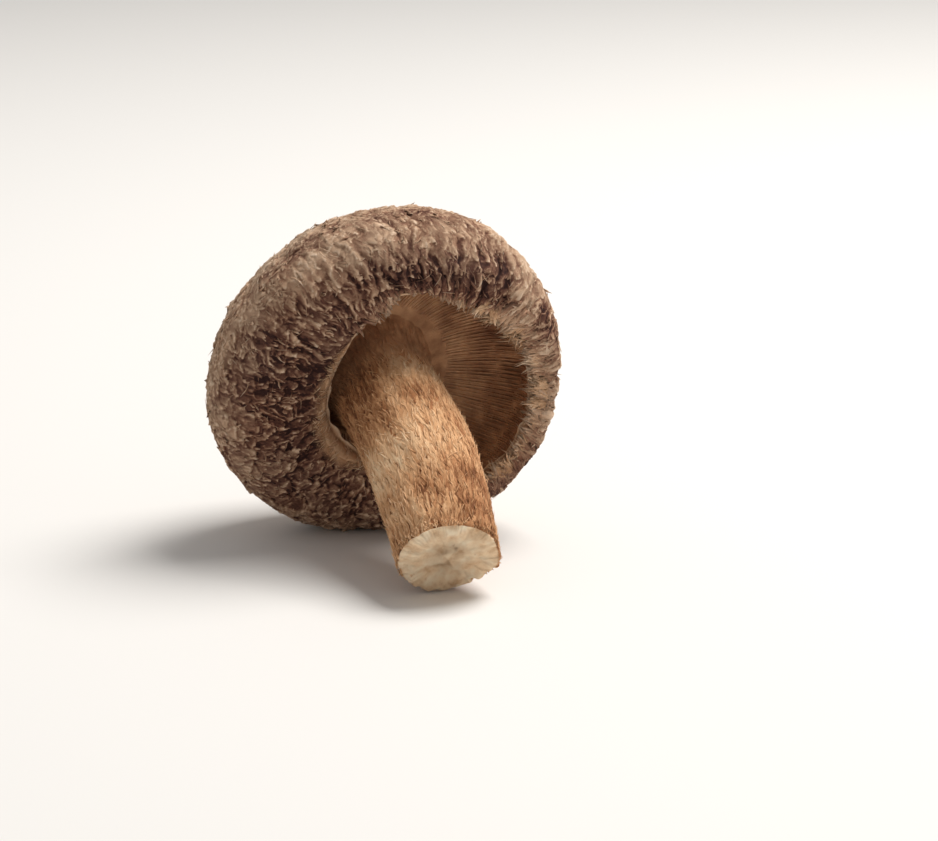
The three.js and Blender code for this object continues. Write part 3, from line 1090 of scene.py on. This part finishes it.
bark.mark(stem, stem_angle, stem_share)
lay_down(stem)

fibre = Finish("stem fibres", {"Roughness": 0.85, "Specular IOR Level": 0.25})
streaks = fibre.streaks(7.0, 0.9)
flecks = fibre.noise(700.0, 3.0)
clouds = fibre.noise(120.0, 3.0)
dark_strips = (1.0 - fibre.mark("tone") * 11.0).clamp()
# painted light on crests and painted shade in hollows from the relief, and the stem's painted shade
# from how pale it is marked
lightness = (
    fibre.mark("tip") * 0.15 + fibre.mark("tone") * 0.25 + fibre.mark("proud") * 0.4 + streaks * 0.38
    + flecks * 0.35 + clouds * 0.4 + fibre.mark("pale") * 0.3 - dark_strips * 0.25 - 0.52
)
skin_colour = fibre.ramp(
    lightness, (0.0, (0.19, 0.07, 0.026)), (0.25, (0.42, 0.182, 0.075)), (0.5, (0.67, 0.36, 0.175)),
    (0.8, (0.88, 0.56, 0.315)), (1.0, (0.95, 0.7, 0.45))
)
flesh = fibre.ramp(
    fibre.noise(420.0, 4.0), (0.25, (0.62, 0.38, 0.21)), (0.45, (0.84, 0.61, 0.39)),
    (0.75, (0.97, 0.83, 0.62))
)
bare = (fibre.mark("cut") * 3.0 + (flecks - 0.5) * 4.0 - 1.4).clamp()
# the stem's top under the cap is painted in the hollow's brown with painted shade
shade_under_cap = ((0.21 - fibre.mark("way")) * 7.0 + (streaks - 0.5) * 1.5).clamp()
upper_colour = fibre.blend(shade_under_cap, skin_colour, hollow_colour(fibre, 0.4))
fibre.feed("Base Color", fibre.blend(bare, upper_colour, flesh))
fibre.feed("Normal", fibre.bump(streaks, 0.18 * MM))
stem.data.materials.append(fibre.material)
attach(stem, "root")


# The stem's wool: loose ends of its fibres, which stand a little away from it and point towards
# the cap, and the frayed ends round the cut foot.
strand = blade(3, ((0, 0.8, 0.8), (0.35, 1, 1), (0.75, 0.7, 0.7)))
angle, share = scatter(stem_frame, np.arange(0.04, 0.99, 0.021), 0.85 * MM, dice)
count = len(angle)
FOOT_STRANDS = 260
strand_size = (
    np.r_[dice.uniform(1.0, 2.8, count), dice.uniform(0.4, 1.2, FOOT_STRANDS)] * MM,
    np.r_[dice.uniform(0.08, 0.28, count), dice.uniform(0.15, 0.45, FOOT_STRANDS)] * MM,
    dice.uniform(0.05, 0.11, count + FOOT_STRANDS) * MM,
    np.r_[dice.gamma(1.6, 0.14, count), dice.normal(0, 0.25, FOOT_STRANDS)] * MM,
    np.r_[math.pi + dice.normal(0, 0.3, count), dice.normal(0, 0.35, FOOT_STRANDS)],
    dice.normal(0, 0.15, count + FOOT_STRANDS),
)
foot_angle = dice.uniform(0, TURN, 3 * FOOT_STRANDS)
foot_height = stem_point(foot_angle, 1.0) @ np.array(laid_down)[2, :3] + laid_down[2][3]
angle = np.r_[angle, foot_angle[foot_height > 3 * MM][:FOOT_STRANDS]]
share = np.r_[share, dice.uniform(0.965, 0.985, FOOT_STRANDS)]
tone = dice.random(len(angle))
wool = clothe(
    "stem_wool", bark_frame, strand, angle, share, strand_size, tone,
    dice, crumple=0.1, first_way=-0.05, last_way=0.99,
)
# the wool is as pale as the stem under it, painted shade included
mark_points(wool, pale=np.repeat(stem_paleness_with_painted_shade(angle, share), len(strand[0])))
lay_down(wool)
wool.data.materials.append(fibre.material)
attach(wool, "root")
